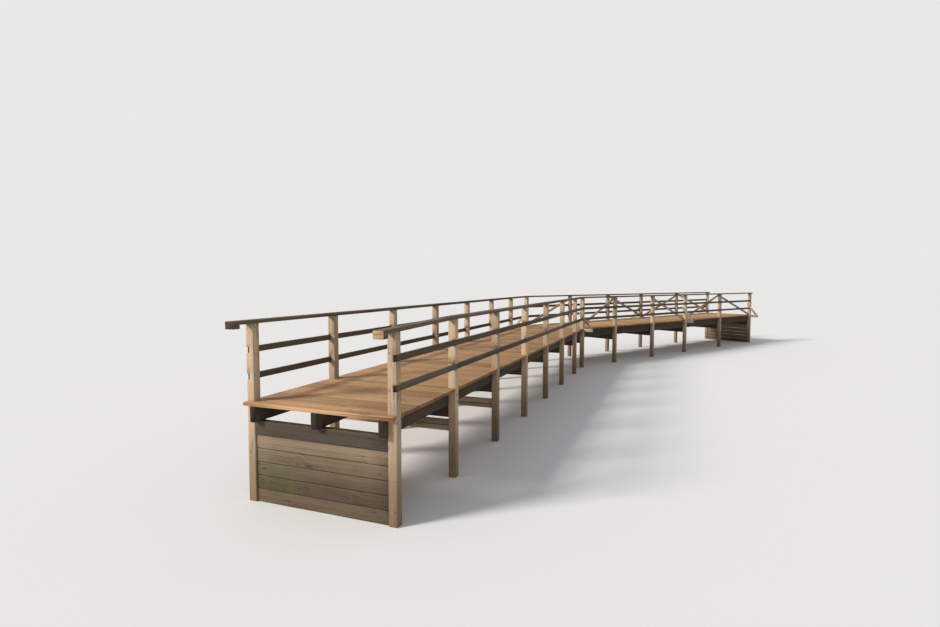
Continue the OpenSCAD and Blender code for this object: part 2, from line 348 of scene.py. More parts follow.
def maths(tree, operation, a, b=0.0, clamp=False):
    """The operation on two numbers."""
    return tree_node(tree, "ShaderNodeMath", {0: a, 1: b}, operation=operation, use_clamp=clamp).outputs[0]


def times(tree, a, b):
    """The product of two numbers."""
    return maths(tree, "MULTIPLY", a, b)


def plus(tree, a, b):
    """The sum of two numbers."""
    return maths(tree, "ADD", a, b)


def vectors(tree, operation, a, b, out="Vector"):
    """The operation on two vectors."""
    return tree_node(tree, "ShaderNodeVectorMath", {0: a, 1: b}, operation=operation).outputs[out]


def noise(tree, vector, scale, detail=3.0, roughness=0.55):
    """Noise of a vector that is first stretched by a scale for each axis."""
    return tree_node(tree, "ShaderNodeTexNoise", {
        "Vector": vectors(tree, "MULTIPLY", vector, scale), "Scale": 1.0, "Detail": detail,
        "Roughness": roughness}).outputs["Fac"]


def graded(tree, value, low, high, out_low=0.0, out_high=1.0):
    """A smooth step of a value from low to high."""
    return tree_node(tree, "ShaderNodeMapRange", {
        "Value": value, "From Min": low, "From Max": high, "To Min": out_low, "To Max": out_high,
    }, interpolation_type="SMOOTHSTEP").outputs["Result"]


def mixed(tree, factor, a, b, blend="MIX"):
    """The colour a, with b laid over it by a factor from 0 to 1."""
    node = tree_node(tree, "ShaderNodeMix", {0: factor, 6: a, 7: b}, data_type="RGBA", blend_type=blend)
    return node.outputs[2]


def attribute(tree, name, out="Fac"):
    """An attribute of the mesh."""
    return tree_node(tree, "ShaderNodeAttribute", attribute_name=name).outputs[out]


def group(name, inputs, outputs):
    """An empty shader node group with named sockets, and its input and output sockets."""
    tree = bpy.data.node_groups.new(name, "ShaderNodeTree")
    for label, kind in inputs.items():
        tree.interface.new_socket(label, in_out="INPUT", socket_type="NodeSocket" + kind)
    for label in outputs:
        tree.interface.new_socket(label, in_out="OUTPUT", socket_type="NodeSocketFloat")
    return tree, tree.nodes.new("NodeGroupInput").outputs, tree.nodes.new("NodeGroupOutput").inputs


def new_material(name):
    """A material with its node tree and its shader."""
    material = bpy.data.materials.new(name)
    material.use_nodes = True
    return material, material.node_tree, material.node_tree.nodes["Principled BSDF"]


def grain_group():
    """The figure of one stick of softwood, from its own grain coordinates.

    Rings are a ring wave about a pith line that lies off the stick by a draw of its own. Fibre, streak and
    blotch are noises drawn out along the grain. A check is the thin crest where a long noise crosses its
    middle value. A knot is a ball about the nearest of scattered points.
    """
    tree, given, out = group("softwood_figure", {"Grain": "Vector", "Stick": "Float"}, (
        "Rings", "Fibre", "Streak", "Blotch", "Checks", "Knots"))
    # MULTIPLY_ADD also adds its third number, which stays at 0.5
    shift = tree_node(tree, "ShaderNodeCombineXYZ", {
        "X": times(tree, given["Stick"], 61.0),
        "Y": maths(tree, "MULTIPLY_ADD", given["Stick"], 0.21),
        "Z": maths(tree, "MULTIPLY_ADD", given["Stick"], -0.17)}).outputs[0]
    own = vectors(tree, "ADD", given["Grain"], shift)
    rings = tree_node(tree, "ShaderNodeTexWave", {
        "Vector": vectors(tree, "MULTIPLY", own, (0.05, 1.0, 1.0)), "Scale": 46.0, "Distortion": 3.2,
        "Detail": 2.0, "Detail Scale": 0.35}, wave_type="RINGS", rings_direction="X", wave_profile="SAW")
    crest = maths(tree, "ABSOLUTE", maths(tree, "SUBTRACT", noise(tree, own, (1.3, 24, 24), 2), 0.5))
    cracked = graded(tree, noise(tree, own, (0.9, 3, 3), 2), 0.52, 0.6)
    spacing = (2.3, 9.0, 9.0)
    cells = tree_node(tree, "ShaderNodeTexVoronoi", {
        "Vector": vectors(tree, "MULTIPLY", own, spacing), "Scale": 1.0})
    middle = vectors(tree, "DIVIDE", cells.outputs["Position"], spacing)
    for label, socket in (
            ("Rings", rings.outputs["Fac"]),
            ("Fibre", noise(tree, own, (7, 430, 430), 4, 0.6)),
            ("Streak", noise(tree, own, (0.8, 30, 30))),
            ("Blotch", noise(tree, own, (1.1, 4.5, 4.5), 4, 0.6)),
            ("Checks", times(tree, graded(tree, crest, 0.012, 0.004), cracked)),
            ("Knots", graded(tree, vectors(tree, "DISTANCE", own, middle, "Value"), 0.019, 0.009))):
        tree.links.new(socket, out[label])
    return tree


def weather_group():
    """Where weather works on a timber, from its place, the way its faces look and its worn arrises.

    Silver follows the upward part of the normal and a blotchy noise. Damp and shade is damp that rises
    from the ground, and painted shade on faces that look down. Moss is a fine noise kept to damp and to
    upward faces. Rubbed is the arris attribute broken by noise.
    """
    tree, given, out = group("weathering", {
        "Place": "Vector", "Normal": "Vector", "Blotch": "Float", "Arris": "Float", "Damp height": "Float"}, (
        "Silver", "Damp and shade", "Moss", "Rubbed"))
    up = tree_node(tree, "ShaderNodeSeparateXYZ", {0: given["Normal"]}).outputs["Z"]
    height = tree_node(tree, "ShaderNodeSeparateXYZ", {0: given["Place"]}).outputs["Z"]
    cloud = noise(tree, given["Place"], (1.7, 1.7, 1.7), 4, 0.6)
    fine = noise(tree, given["Place"], (38, 38, 38), 4, 0.65)
    bleached = graded(tree, plus(tree, cloud, given["Blotch"]), 0.75, 1.2)
    wetness = maths(tree, "DIVIDE", height, given["Damp height"])
    rising = graded(tree, plus(tree, wetness, times(tree, cloud, 0.6)), 1.3, 0.5)
    # Painted shade: faces that look down get half the damp darkening
    underside_shade = times(tree, graded(tree, up, -0.2, -0.9), 0.5)
    tufts = graded(tree, plus(tree, fine, cloud), 1.06, 1.22)
    mossy = maths(tree, "MAXIMUM", rising, graded(tree, up, 0.6, 1.0, 0.0, 0.6))
    for label, socket in (
            ("Silver", times(tree, graded(tree, up, 0.1, 0.9, 0.25, 1.0), bleached)),
            ("Damp and shade", maths(tree, "MAXIMUM", rising, underside_shade)),
            ("Moss", times(tree, tufts, mossy)),
            ("Rubbed", graded(tree, plus(tree, given["Arris"], fine), 0.85, 1.3))):
        tree.links.new(socket, out[label])
    return tree


FIGURE = grain_group()
WEATHER = weather_group()
END_TINT = (0.55, 0.506, 0.4675, 1)
# Tint of damp, and of the painted shade on faces that look down
WET_AND_SHADE_TINT = (0.42, 0.38, 0.34, 1)
PAINTED_LIT_END_TINT = (0.50, 0.33, 0.18, 1)
MOSS_GREEN = (0.10, 0.13, 0.045, 1)
KNOT_BROWN = (0.09, 0.05, 0.028, 1)
CHECK_BLACK = (0.025, 0.018, 0.013, 1)


def timber_finish(name, light, dark, silver, rubbed, damp_and_shade, moss, damp_height, tread=None):
    """Weathered softwood: the figure mixes a light and a dark tone, each stick is a little lighter or darker,
    and silver, damp with painted shade on down-facing faces, moss and rubbed arrises lie over it. A deck
    also has a trodden strip along its middle.
    The fourth number of silver, rubbed and tread says how far each one covers."""
    material, tree, shader = new_material(name)
    grain = attribute(tree, "grain", "Vector")
    stick, arris, sawn = (attribute(tree, label) for label in ("stick", "arris", "sawn"))
    place = tree_node(tree, "ShaderNodeTexCoord").outputs["Object"]
    normal = tree_node(tree, "ShaderNodeNewGeometry").outputs["Normal"]
    see = tree_node(tree, "ShaderNodeGroup", {"Grain": grain, "Stick": stick}, node_tree=FIGURE).outputs
    felt = tree_node(tree, "ShaderNodeGroup", {
        "Place": place, "Normal": normal, "Blotch": see["Blotch"], "Arris": arris,
        "Damp height": damp_height}, node_tree=WEATHER).outputs

    tone = plus(tree, times(tree, see["Rings"], 0.35), times(tree, see["Streak"], 0.75))
    colour = mixed(tree, graded(tree, tone, 0.3, 0.85), light, dark)
    colour = mixed(tree, times(tree, felt["Silver"], silver[3]), colour, silver)
    colour = mixed(tree, times(tree, felt["Rubbed"], rubbed[3]), colour, rubbed)
    if tread:
        along = tree_node(tree, "ShaderNodeSeparateXYZ", {0: grain}).outputs["X"]
        from_middle = plus(tree, maths(tree, "ABSOLUTE", along), times(tree, see["Blotch"], 0.5))
        walked = times(tree, graded(tree, from_middle, 1.15, 0.55), tread[3])
        colour = mixed(tree, walked, colour, tread)
    # Damp darkening from the ground, with painted shade on the faces that look down
    wet_and_shaded = mixed(tree, 1.0, colour, WET_AND_SHADE_TINT, "MULTIPLY")
    colour = mixed(tree, times(tree, felt["Damp and shade"], damp_and_shade), colour, wet_and_shaded)
    colour = mixed(tree, times(tree, felt["Moss"], moss), colour, MOSS_GREEN)
    own = graded(tree, stick, 0.0, 1.0, 0.8, 1.18)
    shade = tree_node(tree, "ShaderNodeCombineColor", {0: own, 1: own, 2: own}).outputs[0]
    colour = mixed(tree, 1.0, colour, shade, "MULTIPLY")
    colour = mixed(tree, sawn, colour, mixed(tree, 1.0, colour, END_TINT, "MULTIPLY"))
    # Painted highlight: a pale tint over the end that is marked as lit
    colour = mixed(tree, maths(tree, "MULTIPLY", sawn, -0.85, clamp=True), colour, PAINTED_LIT_END_TINT)
    colour = mixed(tree, times(tree, see["Knots"], 0.7), colour, KNOT_BROWN)
    colour = mixed(tree, times(tree, see["Checks"], 0.85), colour, CHECK_BLACK)
    tree.links.new(colour, shader.inputs["Base Color"])
    shader.inputs["Specular IOR Level"].default_value = 0.13

    rough = plus(tree, times(tree, see["Fibre"], 0.16), 0.74)
    rough = maths(tree, "SUBTRACT", rough, times(tree, felt["Damp and shade"], 0.18))
    tree.links.new(rough, shader.inputs["Roughness"])
    relief = plus(tree, times(tree, see["Fibre"], 0.5), times(tree, see["Rings"], 0.25))
    relief = maths(tree, "SUBTRACT", relief, times(tree, see["Checks"], 1.6))
    relief = plus(tree, relief, times(tree, felt["Moss"], 0.8))
    bump = tree_node(tree, "ShaderNodeBump", {"Height": relief, "Distance": 0.001, "Strength": 0.8})
    tree.links.new(bump.outputs["Normal"], shader.inputs["Normal"])
    return material


def steel_finish():
    """Dull galvanised steel with brown rust in blotches."""
    material, tree, shader = new_material("galvanised_fixing")
    place = tree_node(tree, "ShaderNodeTexCoord").outputs["Object"]
    spangle = noise(tree, place, (240, 240, 240))
    rust = graded(tree, noise(tree, place, (55, 55, 55), 4, 0.65), 0.46, 0.62)
    zinc = mixed(tree, spangle, (0.30, 0.30, 0.29, 1), (0.48, 0.48, 0.46, 1))
    tree.links.new(mixed(tree, rust, zinc, (0.16, 0.075, 0.035, 1)), shader.inputs["Base Color"])
    tree.links.new(graded(tree, rust, 0, 1, 0.75, 0.15), shader.inputs["Metallic"])
    tree.links.new(graded(tree, rust, 0, 1, 0.48, 0.85), shader.inputs["Roughness"])
    return material


POST_FINISH = timber_finish(
    "post_timber", (0.60, 0.445, 0.29, 1), (0.38, 0.265, 0.165, 1), (0.50, 0.44, 0.36, 0.5),
    (0.68, 0.55, 0.39, 0.45), damp_and_shade=0.8, moss=0.5, damp_height=1.3)
# Partly painted shade: the rails are dark weathered wood, darkened further for the shade that their sides lie
# in
SHADE_DARKENED_TOP_RAIL_FINISH = timber_finish(
    "top_rail_timber_painted_shade", (0.145, 0.108, 0.073, 1), (0.068, 0.051, 0.036, 1), (0.20, 0.17, 0.135, 0.6),
    (0.30, 0.235, 0.165, 0.5), damp_and_shade=0.25, moss=0.3, damp_height=0.4)
SHADE_DARKENED_MIDDLE_RAIL_FINISH = timber_finish(
    "middle_rail_timber_painted_shade", (0.135, 0.10, 0.068, 1), (0.064, 0.048, 0.034, 1), (0.19, 0.16, 0.125, 0.5),
    (0.28, 0.22, 0.155, 0.45), damp_and_shade=0.25, moss=0.25, damp_height=0.4)
DECK_FINISH = timber_finish(
    "deck_timber", (0.515, 0.292, 0.148, 1), (0.34, 0.184, 0.09, 1), (0.40, 0.30, 0.19, 0.35),
    (0.58, 0.395, 0.235, 0.4), damp_and_shade=0.3, moss=0.5, damp_height=0.4, tread=(0.58, 0.345, 0.182, 0.6))
# Painted shade: beams and bearers are coloured near black for the deep shade under the deck
SHADE_DARKENED_BEAM_FINISH = timber_finish(
    "beam_timber_painted_shade", (0.088, 0.067, 0.047, 1), (0.044, 0.034, 0.025, 1), (0.115, 0.098, 0.078, 0.35),
    (0.155, 0.122, 0.086, 0.35), damp_and_shade=0.5, moss=0.35, damp_height=1.0)
OUTRIGGER_FINISH = timber_finish(
    "outrigger_timber", (0.52, 0.42, 0.28, 1), (0.33, 0.26, 0.17, 1), (0.46, 0.43, 0.37, 0.6),
    (0.64, 0.54, 0.39, 0.5), damp_and_shade=0.3, moss=0.4, damp_height=0.4)
BRACE_FINISH = timber_finish(
    "brace_timber", (0.54, 0.405, 0.27, 1), (0.335, 0.243, 0.16, 1), (0.45, 0.40, 0.335, 0.5),
    (0.63, 0.51, 0.36, 0.5), damp_and_shade=0.2, moss=0.2, damp_height=0.4)
SLEEPER_FINISH = timber_finish(
    "sleeper_timber", (0.27, 0.198, 0.13, 1), (0.14, 0.103, 0.069, 1), (0.23, 0.205, 0.17, 0.4),
    (0.31, 0.25, 0.178, 0.4), damp_and_shade=0.8, moss=0.8, damp_height=1.0)
BANK_BOARD_FINISH = timber_finish(
    "bank_board_timber", (0.46, 0.35, 0.235, 1), (0.27, 0.20, 0.135, 1), (0.38, 0.34, 0.28, 0.4),
    (0.50, 0.41, 0.30, 0.4), damp_and_shade=0.4, moss=0.6, damp_height=0.5)
STEEL = steel_finish()


def housing(z):
    """Lowest and highest z of the housing for a middle rail at level z."""
    return z - RAIL_D / 2 - FIT, z + RAIL_D / 2 + FIT


def outward(side, near, far):
    """The band from near to far on one side of the bridge, as the low and the high value of v."""
    low, high = (near, far) if side > 0 else (-far, -near)
    return np.stack(np.broadcast_arrays(low, high), -1)


def rail_drop(u, side):
    """How far the top rail of the first leg lies under its level: nothing, but the right one falls away
    evenly from its second post to its near end."""
    return RIGHT_RAIL_FALL * np.maximum(0, BANK_BAY - np.asarray(u)) * (side < 0)


def post_pair(name, line, u):
    """Two posts from the ground to the top rail, housed on their outer faces for the middle rails."""
    pair = timbers_of(name)
    for side in (-1, 1):
        top = POST_TOP - (rail_drop(u, side) if line == LEG_1 else 0)
        heights = between(0, top, [edge for z in RAIL_LEVELS for edge in edges_of(*housing(z))])
        housed = within(heights, *housing(RAIL_LEVELS[0])) | within(heights, *housing(RAIL_LEVELS[1]))
        face = np.where(housed, RAIL_BACK - FIT, OUTER)
        pair.timber(line, "zvu", heights, outward(side, INNER, face), (u - POST / 2, u + POST / 2),
                    arris=POST_ARRIS)
    pair.build(POST_FINISH, "post_wood")


def copied(name, material, grain_axis, stick_of):
    """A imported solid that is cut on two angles: its copy is merged, rounded by a Bevel modifier and given
    the same attributes as the other timbers. Its grain runs along grain_axis of the elbow line, and stick_of
    gives the tone of the stick at each v."""
    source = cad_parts[name].data
    co = np.empty(len(source.vertices) * 3, np.float32)
    source.vertices.foreach_get("co", co)
    points, index = np.unique(co.reshape(-1, 3).round(5), axis=0, return_inverse=True)
    corners = np.empty(len(source.loops), np.int32)
    source.loops.foreach_get("vertex_index", corners)
    triangles = index.ravel()[corners].reshape(-1, 3)
    mesh = bpy.data.meshes.new(name + "_timber")
    mesh.from_pydata(points.tolist(), [], triangles.tolist())
    mesh.validate()
    cos, sin = math.cos(TURN / 2), math.sin(TURN / 2)
    x, y, z = (points - [ELBOW_X, 0, 0]).T
    u, v = x * cos - y * sin, x * sin + y * cos
    grain = (v, u, z) if grain_axis == "v" else (z, u, v - np.sign(v) * ELBOW_SIDE)
    write_facts(mesh, {"grain": np.stack(grain, -1), "stick": stick_of(v),
                       "arris": np.full(len(v), COPIED_WEAR), "sawn": np.zeros(len(v))})
    mesh.materials.append(material)
    piece = added(name + "_timber", mesh)
    bevel = piece.modifiers.new("worn arrises", "BEVEL")
    bevel.width = ARRIS
    bevel.segments = 2
    bevel.limit_method = "ANGLE"
    stand_for(piece, name)


def sag(stations, supports, depth):
    """A bow that is nothing at each support and deepest halfway: depth * sin(pi t)^2, with one draw for each
    bay and none past the outer supports."""
    bay = np.searchsorted(supports, stations, side="right")
    ends = np.concatenate(([supports[0] - 1], supports, [supports[-1] + 1]))
    t = (stations - ends[bay]) / (ends[bay + 1] - ends[bay])
    drawn = draws.uniform(-1, 1, len(ends)) * depth
    drawn[[0, -2]] = 0
    return drawn[bay] * np.sin(math.pi * t) ** 2


def lengths(start, stop, joints):
    """The lengths that a long run is made up of, butted over the posts at the joints."""
    cuts = [start] + [j for j in joints if start < j < stop] + [stop]
    for k, (low, high) in enumerate(zip(cuts[:-1], cuts[1:])):
        yield (low + (BUTT_GAP / 2 if k else 0), high - (BUTT_GAP / 2 if k < len(cuts) - 2 else 0))


def run(piece, leg, kind, outer_end, across, deep, bow=(0.0, 0.0), notches=(), arris=ARRIS, drop=None,
        near_end=OLD_END):
    """A long timber of one leg, from its outer end to the mitre line, made up of lengths.

    Each length is a timber whose sides bow between the supports, and a notch lowers its top. The mitre line
    is crossed at elbow + lean * v, so the rings beside it slide along by lean * (v - middle)."""
    line, supports, _ = LEGS[leg - 1]
    joints = supports[JOINTS[leg - 1][kind]]
    lean = MITRE if leg == 1 else -MITRE
    elbow_end = (ELBOW_X - FIT / 2 if leg == 1 else FIT / 2) + lean * sum(across) / 2
    start, stop = (outer_end, elbow_end) if leg == 1 else (elbow_end, outer_end)
    for low, high in lengths(start, stop, joints):
        stations = between(low, high, [edge for notch in notches for edge in edges_of(*notch[:2])])
        sideways = sag(stations, supports, bow[0])[:, None]
        down = sag(stations, supports, bow[1])[:, None]
        sides = np.array(across) + sideways
        heights = np.array(deep) + down
        if drop:
            heights = heights - drop(stations)[:, None]
        for near, far, seat in notches:
            heights[within(stations, near, far), 1] = seat
        slant = np.zeros(len(stations))
        slant[abs(stations - elbow_end) < ELBOW_ZONE] = lean
        piece.timber(line, "uvz", stations, sides, heights, slant, arris,
                     first_end=near_end if low == outer_end else OLD_END)


def top_rails():
    """Flat rails on the post tops. At the near bank each has a block of its own width under its end."""
    # The right rail's near end and its block are painted pale, a painted highlight for a sunlit end face
    for side, word, lip, near_end in ((1, "left", LEFT_LIP, OLD_END), (-1, "right", RIGHT_LIP, PAINTED_LIT_END)):
        across = outward(side, INNER - TOP_RAIL_OVER, OUTER + TOP_RAIL_OVER)
        shape = {"across": across, "deep": (POST_TOP, RAIL_FACE), "bow": TOP_RAIL_BOW, "arris": TOP_RAIL_ARRIS}
        rail = timbers_of(f"top_rail_{word}_1")
        run(rail, 1, "top", -lip, **shape, drop=lambda u: rail_drop(u, side), near_end=near_end)
        u = between(END_BLOCK_BACK - lip, END_BLOCK_L - lip)
        seat = POST_TOP - FIT - rail_drop(u, side)
        rail.timber(LEG_1, "uvz", u, across, np.stack((seat - END_BLOCK_D, seat), -1), first_end=near_end)
        rail.build(SHADE_DARKENED_TOP_RAIL_FINISH, "top_rail_wood")
        rail = timbers_of(f"top_rail_{word}_2")
        run(rail, 2, "top", STATIONS_2[-1] + FAR_LIP, **shape)
        rail.build(SHADE_DARKENED_TOP_RAIL_FINISH, "top_rail_wood")


def middle_rails():
    """Two rails on each side of each leg, in the housings of the posts."""
    for side, word in SIDES:
        for leg, outer_end in ((1, RAIL_SETBACK - POST / 2), (2, STATIONS_2[-1] + POST / 2 - RAIL_SETBACK)):
            rails = timbers_of(f"middle_rails_{word}_{leg}")
            for z, kind in zip(RAIL_LEVELS, ("lower", "upper")):
                run(rails, leg, kind, outer_end, outward(side, RAIL_BACK, OUTER),
                    (z - RAIL_D / 2, z + RAIL_D / 2), MIDDLE_RAIL_BOW)
            rails.build(SHADE_DARKENED_MIDDLE_RAIL_FINISH, "middle_rail_wood")


def beams():
    """Three beams under each leg, notched on top where an outrigger crosses."""
    bars_2 = [(near - FIT, far + FIT, BAR_SEAT) for near, far in BARS_2]
    for right_face, word in ((-INNER, "right"), (-BEAM_T / 2, "middle"), (INNER - BEAM_T, "left")):
        across = (right_face, right_face + BEAM_T)
        crossing = ELBOW_X + MITRE * sum(across) / 2
        bar_1 = [(crossing - BAR_NEAR - FIT, crossing - BAR_FAR + FIT, BAR_SEAT)]
        for leg, outer_end, level, bars in (
                (1, -DECK_LIP, BEAM_Z_1, bar_1), (2, STATIONS_2[-1] + DECK_LIP, BEAM_Z_2, bars_2)):
            beam = timbers_of(f"beam_{word}_{leg}")
            run(beam, leg, "beam", outer_end, across, (level, BOARDS_Z), notches=bars)
            beam.build(SHADE_DARKENED_BEAM_FINISH, "beam_wood")


def bearers():
    """A cross bearer under the beams between the posts of each pair. The elbow's is a copied solid."""
    for leg, (line, stations, seat) in enumerate(LEGS, 1):
        piece = timbers_of(f"bearers_leg_{leg}")
        for u in stations:
            piece.timber(line, "vuz", between(-INNER, INNER), (u - BEARER_T / 2, u + BEARER_T / 2),
                         (seat - BEARER_D, seat))
        piece.build(SHADE_DARKENED_BEAM_FINISH, "beam_wood")


def edge_of_deck(u, v_edge, posts, sign):
    """How far a deck board reaches on one side: to the edge, or short of the post that stands there."""
    reach = np.full(len(u), v_edge)
    for station in posts:
        reach[within(u, station - POST / 2 - BOARD_GAP, station + POST / 2 + BOARD_GAP)] = INNER - BOARD_GAP
    return reach * sign


def board_rows(start, stop):
    """The edges of the boards that fill a stretch of deck, at about one pitch. A rest of up to SHARED_REST of
    a board is shared out among the others."""
    count = max(1, math.ceil((stop - start) / BOARD_PITCH - SHARED_REST))
    edges = start + np.arange(count + 1) * (stop - start) / count
    return zip(edges[:-1], edges[1:])


def elbow_bounds(u, side):
    """Lowest and highest v of an elbow post at each u of the second leg, grown by the board gap.

    The post is a square turned by half the turn: the two slabs |x'| < half and |y'| < half each give a lower
    and an upper bound of v at one u, and the post fills v between the greater lower and the smaller upper."""
    cos, sin = math.cos(TURN / 2), math.sin(TURN / 2)
    half = POST / 2 + BOARD_GAP
    du = u + side * ELBOW_SIDE * sin
    first = np.sort(np.stack(((-half - du * cos) / sin, (half - du * cos) / sin)), 0)
    second = np.stack(((-half + du * sin) / cos, (half + du * sin) / cos))
    middle_v = side * ELBOW_SIDE * cos
    return np.maximum(first[0], second[0]) + middle_v, np.minimum(first[1], second[1]) + middle_v


def deck(leg):
    """Cross boards laid square to the leg, notched round the posts and cut along the elbow."""
    line, posts, _ = LEGS[leg - 1]
    piece = Piece(f"deck_boards_{leg}", f"deck_leg_{leg}")
    if leg == 1:
        cut = ELBOW_X - BAR_NEAR - BOARD_GAP
        stretches = [(-DECK_LIP, cut + OUTER * MITRE)]
    else:
        cut = BOARD_GAP / 2
        stretches = [(cut - OUTER * MITRE, BARS_2[0][0]), (BARS_2[0][1], BARS_2[1][0]),
                     (BARS_2[1][1], STATIONS_2[-1] + DECK_LIP)]
    notches = [edge for p in posts for edge in edges_of(p - POST / 2 - BOARD_GAP, p + POST / 2 + BOARD_GAP)]
    middles = []
    for start, stop in stretches:
        for low, high in board_rows(start, stop):
            gap = draws.uniform(*BOARD_SIDE_GAP, 2)
            u = between(low + gap[0], high - gap[1], notches, step=BOARD_STEP)
            top = DECK_Z - draws.uniform(0, BOARD_SINK, 2)
            right = edge_of_deck(u, OUTER - draws.uniform(0, BOARD_SHORT), posts, -1)
            left = edge_of_deck(u, OUTER - draws.uniform(0, BOARD_SHORT), posts, 1)
            right = np.maximum(right, (u - cut) / MITRE if leg == 1 else (cut - u) / MITRE)
            if leg == 2:
                post_low, post_high = elbow_bounds(u, -1)
                right = np.where(post_low < post_high, np.maximum(right, post_high), right)
                post_low, post_high = elbow_bounds(u, 1)
                left = np.where(post_low < post_high, np.minimum(left, post_low), left)
            wide = left - right > NARROWEST_BOARD
            if wide.sum() < 2:
                continue
            u, left, right = u[wide], left[wide], right[wide]
            slope = np.linspace(0, 1, len(u))
            heights = np.stack((np.full(len(u), BOARDS_Z), top[0] + (top[1] - top[0]) * slope), -1)
            piece.timber(line, "uvz", u, np.stack((right, left), -1), heights, arris=BOARD_ARRIS,
                         grain="across")
            middles.append(((u[0] + u[-1]) / 2, u[-1] - u[0], right.max(), left.min()))
    if leg == 1:
        reach = ELBOW_SIDE - POST / 2 - BOARD_GAP
        piece.timber(ELBOW, "vuz", between(-reach, reach), (-POST / 2 + BOARD_GAP, -BOARD_GAP / 2),
                     (BOARDS_Z, DECK_Z), arris=BOARD_ARRIS)
    piece.build(DECK_FINISH, "deck_wood")
    return line, np.array(middles)


def outriggers():
    """Cross timbers level with the deck that stand out past both rows of posts."""
    for word, line, u, row in OUTRIGGERS:
        bar = timbers_of(f"outrigger_{word}")
        reach = row + OUTRIGGER_REACH
        bar.timber(line, "vuz", between(-reach, reach), (u - POST / 2 - OUTRIGGER_W, u - POST / 2),
                   (DECK_Z - OUTRIGGER_D, DECK_Z), arris=BAR_ARRIS)
        bar.build(OUTRIGGER_FINISH, "outrigger_wood")


def struts():
    """A raking strut on each end of an outrigger. At height h its outer side is at foot - h / slope. It stops
    at the inner face of the post, and a notch lets the lower middle rail pass."""
    head = (RAIL_LEVELS[0] + RAIL_LEVELS[1]) / 2 - DECK_Z
    rail_low, rail_high = (z - DECK_Z for z in housing(RAIL_LEVELS[0]))
    for word, line, u, row in OUTRIGGERS:
        piece = timbers_of(f"struts_{word}")
        foot = row + OUTRIGGER_REACH - STRUT_HEEL
        slope = head / (foot - row)
        foot_w = STRUT_D * math.sqrt(1 + 1 / slope ** 2)
        end = row - POST / 2
        h = between(0, (foot - end) * slope - STRUT_HEAD_CUT, [
            (foot - foot_w - end) * slope] + edges_of(rail_low, rail_high), step=STRUT_STEP)
        outer_side = foot - h / slope
        inner_side = np.maximum(end, foot - foot_w - h / slope)
        by_rail = within(h, rail_low, rail_high)
        inner_side[by_rail] = np.maximum(inner_side[by_rail], row + POST / 2 + FIT)
        for side in (-1, 1):
            core = np.stack((side * (foot - foot_w / 2 - h / slope), np.full(len(h), u)), -1)
            piece.timber(line, "zvu", DECK_Z + h, outward(side, inner_side, outer_side),
                         (u - POST / 2 - OUTRIGGER_W, u - POST / 2), arris=STICK_ARRIS, core=core)
        piece.build(OUTRIGGER_FINISH, "outrigger_wood")


def post_station(number, side):
    """Station of a post of the second leg by its number, where 0 is the elbow post of that side."""
    return -side * ROW * MITRE if number == 0 else STATIONS_2[number - 1]


def braces():
    """Diagonal boards on the deck side of the posts, from the foot of one post to the head of the next."""
    heads = []
    rise = POST_TOP - DECK_Z
    for side, word in SIDES:
        piece = timbers_of(f"braces_{word}")
        for low, high in BRACE_BAYS:
            foot_u, head_u = post_station(low, side), post_station(high, side)
            tall = BRACE_W / math.cos(math.atan2(rise, abs(head_u - foot_u) - FIT))
            u = between(min(foot_u, head_u) + FIT / 2, max(foot_u, head_u) - FIT / 2)
            t = (u - u[0] if head_u > foot_u else u[-1] - u) / (u[-1] - u[0])
            bottom = DECK_Z + t * (rise - tall)
            core = np.stack((np.full(len(u), side * INNER), bottom + tall / 2), -1)
            piece.timber(LEG_2, "uvz", u, outward(side, INNER - BRACE_T, INNER), np.stack(
                (bottom, bottom + tall), -1), arris=STICK_ARRIS, core=core)
            for part in BRACE_BOLTS:
                heads.append((foot_u + part * (head_u - foot_u), side,
                              DECK_Z + part * (rise - tall) + tall / 2))
        piece.build(BRACE_FINISH, "brace_wood")
    return heads


def bank():
    """Walls of stacked sleepers under both ends, and two boards under the second and the third pair."""
    for word, line, u, bearer_top in (("near", LEG_1, 0.0, BEAM_Z_1), ("far", LEG_2, STATIONS_2[-1], BEAM_Z_2)):
        wall = timbers_of(f"bank_wall_{word}")
        wall_h = bearer_top - BEARER_D
        count = round(wall_h / SLEEPER_D)
        pitch = wall_h / count
        for i in range(count):
            wall.timber(line, "vuz", between(-INNER, INNER), (u - SLEEPER_T / 2, u + SLEEPER_T / 2),
                        (i * pitch + FIT, (i + 1) * pitch - SLEEPER_GAP), arris=SLEEPER_ARRIS)
        wall.build(SLEEPER_FINISH, "bank_wood")
    boards = timbers_of("bank_boards")
    top = BEAM_Z_1 - BEARER_D - BANK_BOARD_DROP
    for k in (1, 2):
        for i in (1, 2):
            z = top - (k - 1) * BANK_FALL - i * BANK_BOARD_PITCH
            boards.timber(LEG_1, "vuz", between(-INNER, INNER), (
                STATIONS_1[k] - BANK_BOARD_T / 2, STATIONS_1[k] + BANK_BOARD_T / 2), (z, z + BANK_BOARD_D))
    boards.build(BANK_BOARD_FINISH, "bank_wood")


# Profiles of the fixings: radius and height, from under the surface to the crown
SINK = -0.001
NAIL = [(0.0045, SINK), (0.0045, 0.0006), (0.003, 0.0012)]
PLATE = [(0.033, SINK), (0.033, 0.003), (0.032, 0.0038)]
HEX_HEAD = [(0.0135, 0.003), (0.0135, 0.012), (0.0115, 0.0135)]
ROUND_WASHER = [(0.02, SINK), (0.02, 0.0022), (0.0192, 0.003)]
NAIL_SIDES, WASHER_SIDES = 8, 16

